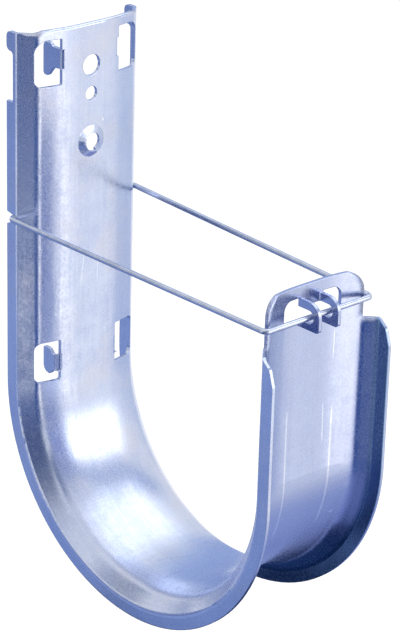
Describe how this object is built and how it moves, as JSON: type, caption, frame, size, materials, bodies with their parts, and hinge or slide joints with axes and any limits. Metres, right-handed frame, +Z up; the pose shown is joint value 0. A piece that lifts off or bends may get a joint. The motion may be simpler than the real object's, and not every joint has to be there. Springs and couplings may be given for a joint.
{
  "type": "j-hook cable support",
  "caption": "J-shaped sheet metal cable hook with a wide flanged strip, lanced tabs, a fixing hole and a hinged spring wire retainer across its mouth.",
  "frame": {"origin": "centre of the fixing hole, on the cable side of the back plate", "axes": "+X from the back plate to the front plate, along the fixing hole; +Y across the strip; +Z up"},
  "size_m": [0.1258, 0.0536, 0.1828],
  "materials": {
    "galvanised_sheet": "pregalvanised sheet, soft satin with faint rolling streaks",
    "spring_wire": "drawn spring wire, bright satin"
  },
  "bodies": {
    "hook": {"hook_body": "galvanised_sheet"},
    "retainer": {"retainer_wire": "spring_wire"}
  },
  "joints": [
    {"name": "retainer_swing", "type": "hinge", "parent": "hook", "child": "retainer", "pos_m": [0.107, 0, -0.0504], "axis": [0, 1, 0], "range_deg": [0, 250]}
  ]
}
